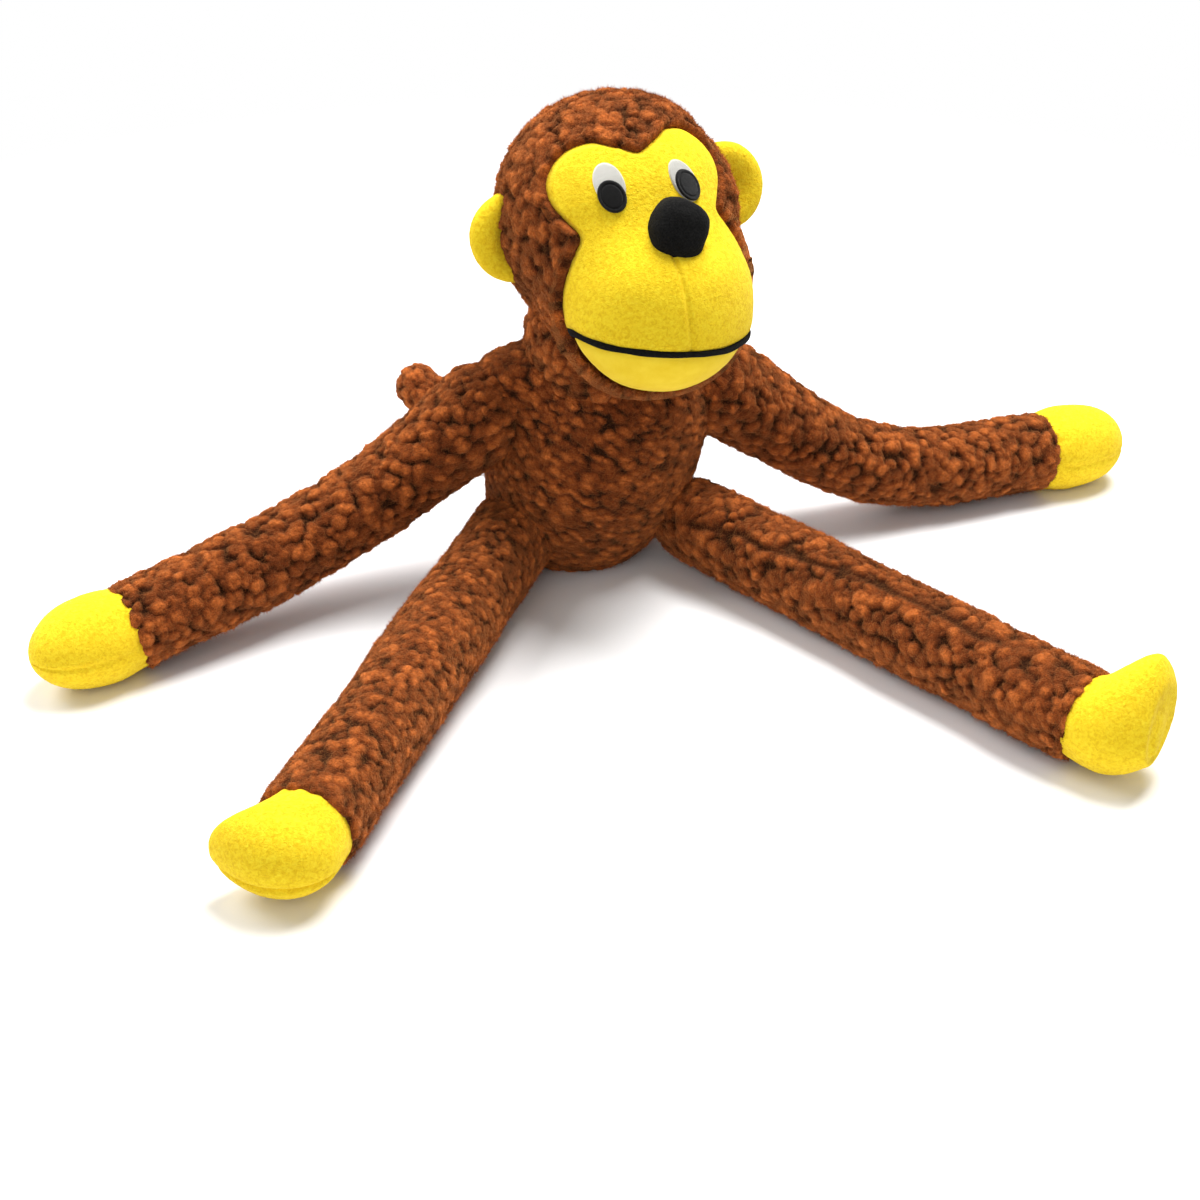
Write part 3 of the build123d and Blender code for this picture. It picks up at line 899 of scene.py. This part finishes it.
def make_mouth():
    turn = np.linspace(*MOUTH_ENDS, 150)
    outward = np.stack([np.sin(turn), -np.cos(turn), 0 * turn], -1) @ MUZZLE_TURN.T
    origin = MUZZLE_CENTER + MUZZLE_TURN @ np.array([0, 0, -MOUTH_DROP])
    line = head_surface(outward, origin)
    from_end = np.minimum(turn - turn[0], turn[-1] - turn)
    end_sink = 0.0014 * np.clip(1 - from_end / radians(9), 0, 1)
    line = placed(line - outward * (PIPING_SINK + end_sink)[:, None])
    wobble = 0.0004 * smooth_noise(line, 0.009, 211)
    line = line + UP * wobble[:, None]
    fade = np.clip(from_end / radians(10), 0.03, 1)
    radii = (PIPING_RADIUS + 0.00022 * smooth_noise(line, 0.006, 212)) * np.sqrt(fade)
    rings = rings_along(line, radii, 20)
    piping = skin("mouth_piping_cord", rings)
    piping.data.materials.append(BLACK)
    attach(piping, "head")
    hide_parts("mouth_piping")


def make_nose():
    """A squarish stuffed nose with soft corners and a gathered underside."""
    way = directions_at(ways_round(120)[None, :], np.linspace(0.03, pi - 0.03, 70)[:, None])
    reach = (np.abs(way) ** NOSE_SQUARENESS).sum(-1) ** (-1 / NOSE_SQUARENESS)
    points = way * reach[..., None] * NOSE_HALF @ turned(NOSE_ROLL, "Y").T
    crease = 0.0005 * np.clip(smooth_noise(points, 0.0045, 311), 0, 1)
    rings = placed(points + NOSE_CENTER)
    nose = plush("nose_plush", rings, crease, salt=131)
    nose.data.materials[0] = BLACK
    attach(nose, "head")
    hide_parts("nose_cover", "nose_stuffing")


# For each eye: the way it faces, round and up, and where its pupil lies in the white (across, up)
EYES = {"right": (radians(20.0), radians(22.3), (0.0004, -0.0047)),
        "left": (radians(18.5), radians(17.5), (0.0007, -0.0021))}
PUPIL_LEAN = radians(9)
# For each patch of an eye: half width and height, how high its rim lies, how far its middle stands
# above that, and its thread
EYE_PATCHES = {"white": ((0.0056, 0.0084), -0.0009, 0.0005, WHITE_THREAD, "white_thread"),
               "pupil": ((0.0051, 0.0061), -0.0004, 0.0006, BLACK_THREAD, "black_thread")}


def make_eye(side):
    """An embroidered white oval with a black pupil, its rim stitched round."""
    sign = 1 if side == "left" else -1
    azimuth, rise, pupil_at = EYES[side]
    ahead = np.array([sign * sin(azimuth) * cos(rise), -cos(azimuth) * cos(rise), sin(rise)])
    across = unit(np.cross(UP, ahead))
    over = np.cross(ahead, across)
    phi = ways_round(96)[None, :]
    leaning = cos(PUPIL_LEAN) * over - sin(PUPIL_LEAN) * across
    for name, (half, base, raised, material, slot) in EYE_PATCHES.items():
        at = pupil_at if name == "pupil" else (0.0, 0.0)
        share = np.concatenate([np.linspace(0.04, 1, 22), [1.0]])[:, None]
        offset = (half[0] * share * np.cos(phi))[..., None] * across + at[0] * across + at[1] * over
        offset = offset + (half[1] * share * np.sin(phi))[..., None] * leaning
        surface = head_surface(unit(ahead * SKULL_RADIUS + offset))
        profile = np.clip((1 - share) / 0.10, 0, 1) ** 0.5
        if name == "pupil":
            profile = profile - groove(share - 0.74, 0.55, 0.05)        # a ring of stitches inside its rim
        profile[-1] = -2.0      # the last ring goes down into the face
        lift = base + raised * profile
        rings = placed(surface + unit(surface) * (lift + 0 * phi)[..., None])
        patch = skin(side + "_eye_" + name + "_thread", rings)
        patch.data.materials.append(material)
        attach(patch, "head")
        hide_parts(side + "_eye_" + name)


EARS = {"right": (0.0065, 0.0), "left": (-0.001, 0.0025)}      # how deep in the skull, and how high
EAR_RADIUS, EAR_THICKNESS = 0.0168, 0.0065                      # half across, and half through


def make_ear(side):
    """A stuffed D-shaped ear with a thick rim and a shallow hollow in its front."""
    sign = 1 if side == "left" else -1
    sink, height = EARS[side]
    center = np.array([sign * (SKULL_RADIUS - sink), 0.003, height])
    theta = np.linspace(0.04, pi - 0.04, 80)[:, None]
    phi = ways_round(150)[None, :]
    reach = np.sin(theta) ** 0.8
    x = EAR_RADIUS * reach * np.cos(phi)
    z = EAR_RADIUS * reach * np.sin(phi)
    y = -EAR_THICKNESS * np.sign(np.cos(theta)) * np.abs(np.cos(theta)) ** 0.75 + 0 * phi
    hollow = groove(np.hypot(x - 0.001 * sign, z), 0.0052, 0.0088) * (np.cos(theta) > 0)
    points = np.stack([x, y + hollow, z], -1)
    rings = placed(points + center)
    rim = groove(theta - pi / 2, 0.0005, 0.05) + 0 * phi
    ear = plush(side + "_ear_plush", rings, rim, salt=137)
    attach(ear, "head")
    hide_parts(side + "_ear_cover", side + "_ear_stuffing")


# ---------------------------------------------------------------- camera, floor and light

def make_camera():
    data = bpy.data.cameras.new("camera")
    data.lens, data.sensor_width = 52.5, 36
    camera = bpy.data.objects.new("camera", data)
    bpy.context.scene.collection.objects.link(camera)
    camera.location = (-0.1848, -0.6043, 0.3813)
    camera.rotation_mode = "QUATERNION"
    camera.rotation_quaternion = Vector((0.2452, 0.8020, -0.5446)).to_track_quat("-Z", "Y")
    bpy.context.scene.camera = camera


def make_floor():
    half = 3.0
    corners = [(-half, -half, 0), (half, -half, 0), (half, half, 0), (-half, half, 0)]
    mesh = bpy.data.meshes.new("floor")
    mesh.from_pydata(corners, [], [(0, 1, 2, 3)])
    floor = bpy.data.objects.new("floor", mesh)
    bpy.context.scene.collection.objects.link(floor)
    material, nodes, links, shader = new_material("pale_floor")
    shader.inputs["Base Color"].default_value = (0.92, 0.92, 0.92, 1)
    shader.inputs["Roughness"].default_value = 0.9
    place = nodes.new("ShaderNodeTexCoord")
    away = add_node(nodes, "ShaderNodeVectorMath", operation="LENGTH")
    links.new(place.outputs["Object"], away.inputs[0])
    fade = colour_ramp(nodes, [(0.34, (0, 0, 0)), (0.62, (1, 1, 1))])
    links.new(away.outputs["Value"], fade.inputs["Fac"])
    clear = nodes.new("ShaderNodeBsdfTransparent")
    mix = nodes.new("ShaderNodeMixShader")
    links.new(fade.outputs["Color"], mix.inputs[0])
    links.new(shader.outputs[0], mix.inputs[1])
    links.new(clear.outputs[0], mix.inputs[2])
    output = next(n for n in nodes if n.type == "OUTPUT_MATERIAL")
    links.new(mix.outputs[0], output.inputs["Surface"])
    mesh.materials.append(material)


AIM = Vector((0, 0, 0.06))
LIGHTS = {"key": (0.7, 29.0, (0.35, 0.20, 1.25)),       # width, power and place
          "rim": (0.7, 9.0, (-0.75, 0.50, 0.85)),
          "fill": (1.2, 4.0, (-0.9, -1.1, 0.9))}
WORLD_STRENGTH = 0.38


def make_light(name, size, power, location):
    data = bpy.data.lights.new(name, "AREA")
    data.size, data.energy = size, power
    lamp = bpy.data.objects.new(name, data)
    bpy.context.scene.collection.objects.link(lamp)
    lamp.location = location
    lamp.rotation_mode = "QUATERNION"
    lamp.rotation_quaternion = (AIM - Vector(location)).to_track_quat("-Z", "Y")


def make_world():
    world = bpy.data.worlds.new("studio")
    world.use_nodes = True
    nodes, links = world.node_tree.nodes, world.node_tree.links
    output = next(n for n in nodes if n.type == "OUTPUT_WORLD")
    soft = next(n for n in nodes if n.type == "BACKGROUND")
    soft.inputs["Color"].default_value = (1, 1, 1, 1)
    soft.inputs["Strength"].default_value = WORLD_STRENGTH
    white = add_node(nodes, "ShaderNodeBackground", Color=(1, 1, 1, 1), Strength=1.0)
    path = nodes.new("ShaderNodeLightPath")
    mix = nodes.new("ShaderNodeMixShader")
    links.new(path.outputs["Is Camera Ray"], mix.inputs[0])
    links.new(soft.outputs[0], mix.inputs[1])
    links.new(white.outputs[0], mix.inputs[2])
    links.new(mix.outputs[0], output.inputs["Surface"])
    bpy.context.scene.world = world


make_camera()
make_floor()
make_world()
for name, (size, power, location) in LIGHTS.items():
    make_light(name, size, power, location)
for side in ("right", "left"):
    make_arm(side)
    make_leg(side)
    make_eye(side)
    make_ear(side)
make_tail()
make_torso()
make_neck()
make_head_fleece()
make_face()
make_mouth()
make_nose()

scene = bpy.context.scene
scene.view_settings.view_transform = "Standard"
